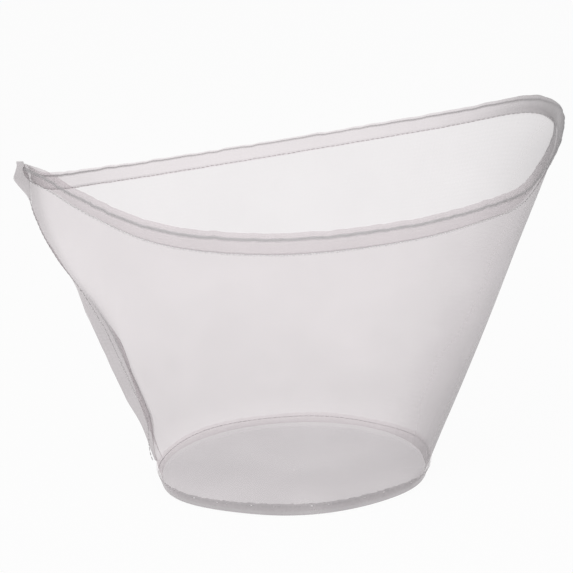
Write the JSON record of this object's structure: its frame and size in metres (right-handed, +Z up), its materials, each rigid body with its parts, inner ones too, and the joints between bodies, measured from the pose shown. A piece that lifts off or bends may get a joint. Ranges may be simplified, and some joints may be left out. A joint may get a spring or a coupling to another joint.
{
  "type": "nut milk bag",
  "caption": "Nut milk bag of translucent white nylon mesh, standing open, with a folded hem round its mouth, a side seam at one end and a round sewn base.",
  "frame": {"origin": "middle of the round base, on the surface that the bag stands on", "axes": "+Z up, +X along the mouth's long way from the side seam to the round end, +Y to the mouth's back side"},
  "size_m": [0.257, 0.1435, 0.1535],
  "materials": {
    "nylon_mesh": "fine plain-woven nylon mesh, translucent",
    "nylon_mesh_base": "fine plain-woven nylon mesh, translucent",
    "sewing_thread": "twisted white polyester thread"
  },
  "bodies": {
    "root": {"wall_panel": "nylon_mesh", "base_disc": "nylon_mesh_base", "hem_stitching": "sewing_thread", "side_seam_stitching": "sewing_thread", "base_seam_stitching": "sewing_thread"}
  },
  "joints": []
}
